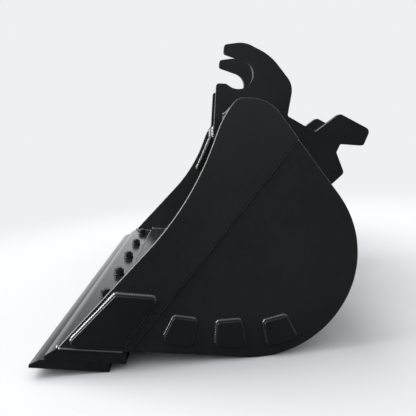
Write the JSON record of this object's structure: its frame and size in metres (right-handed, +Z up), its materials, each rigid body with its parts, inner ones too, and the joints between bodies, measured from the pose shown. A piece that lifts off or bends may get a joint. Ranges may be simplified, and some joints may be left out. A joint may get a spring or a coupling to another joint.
{
  "type": "excavator ditching bucket",
  "caption": "Wide black ditching bucket with a rolled shell, flat sides, a bolted cutting edge, side wear plates, heel pads and two hooked quick-coupler plates.",
  "frame": {"origin": "on the ground under the middle of the bucket, as it stands on the rear corner of its cutting edge and on its heel", "axes": "+Z up, +Y across towards the bucket's left for someone facing the mouth, +X from the cutting edge towards the back"},
  "size_m": [0.8358, 1.2206, 0.6774],
  "materials": {
    "side_paint": "semi-gloss black paint on flat plate",
    "shell_paint": "semi-gloss black paint on rolled plate",
    "hinge_paint": "semi-gloss black paint on flame-cut plate",
    "wear_paint": "semi-gloss black paint on wear plate",
    "edge_paint": "semi-gloss black paint on thick edge plate",
    "bolt_paint": "black paint over nuts and bolts"
  },
  "bodies": {
    "root": {"shell_plate": "shell_paint", "top_tube": "shell_paint", "hinge_cross_plate": "hinge_paint", "left_side_plate": "side_paint", "left_mouth_plate": "side_paint", "left_corner_gusset": "shell_paint", "left_hinge_plate": "hinge_paint", "left_side_wear_plate": "wear_paint", "left_heel_pad_1": "wear_paint", "left_heel_pad_2": "wear_paint", "left_heel_pad_3": "wear_paint", "right_side_plate": "side_paint", "right_mouth_plate": "side_paint", "right_corner_gusset": "shell_paint", "right_hinge_plate": "hinge_paint", "right_side_wear_plate": "wear_paint", "right_heel_pad_1": "wear_paint", "right_heel_pad_2": "wear_paint", "right_heel_pad_3": "wear_paint", "base_edge": "edge_paint", "cutting_edge": "edge_paint", "edge_bolt_1": "bolt_paint", "edge_washer_1": "bolt_paint", "edge_nut_1": "bolt_paint", "edge_bolt_2": "bolt_paint", "edge_washer_2": "bolt_paint", "edge_nut_2": "bolt_paint", "edge_bolt_3": "bolt_paint", "edge_washer_3": "bolt_paint", "edge_nut_3": "bolt_paint", "edge_bolt_4": "bolt_paint", "edge_washer_4": "bolt_paint", "edge_nut_4": "bolt_paint", "edge_bolt_5": "bolt_paint", "edge_washer_5": "bolt_paint", "edge_nut_5": "bolt_paint", "edge_bolt_6": "bolt_paint", "edge_washer_6": "bolt_paint", "edge_nut_6": "bolt_paint"}
  },
  "joints": []
}
